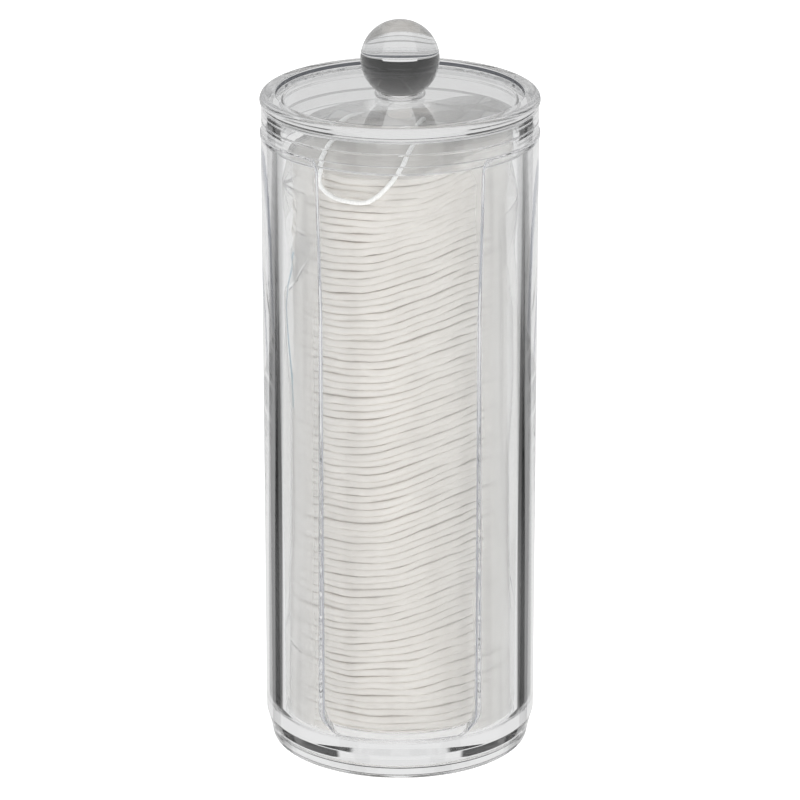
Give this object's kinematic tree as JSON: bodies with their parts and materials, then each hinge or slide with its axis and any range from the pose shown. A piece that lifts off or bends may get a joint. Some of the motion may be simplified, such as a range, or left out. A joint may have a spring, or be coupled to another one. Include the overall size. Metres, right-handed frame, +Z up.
{
  "type": "cotton pad dispenser",
  "caption": "Clear round jar with a tall front slot and a drop-in ball-knob lid, holding a soft film bag of stacked round cotton pads.",
  "frame": {"origin": "centre of the foot ring on the table", "axes": "+Z up along the jar's axis, the slot faces -Y"},
  "size_m": [0.0704, 0.0704, 0.1917],
  "materials": {
    "clear_plastic": "clear, polished moulding",
    "cotton": "pressed cotton fibre",
    "film": "thin creased film",
    "cord": "twisted white cord"
  },
  "bodies": {
    "jar": {"jar": "clear_plastic", "cotton_pads": "cotton", "film_bag": "film", "drawstring": "cord"},
    "lid": {"lid": "clear_plastic", "knob": "clear_plastic"}
  },
  "joints": [
    {"name": "lid_lift", "type": "slide", "parent": "jar", "child": "lid", "axis": [0, 0, 1], "range_m": [0, 0.06]}
  ]
}
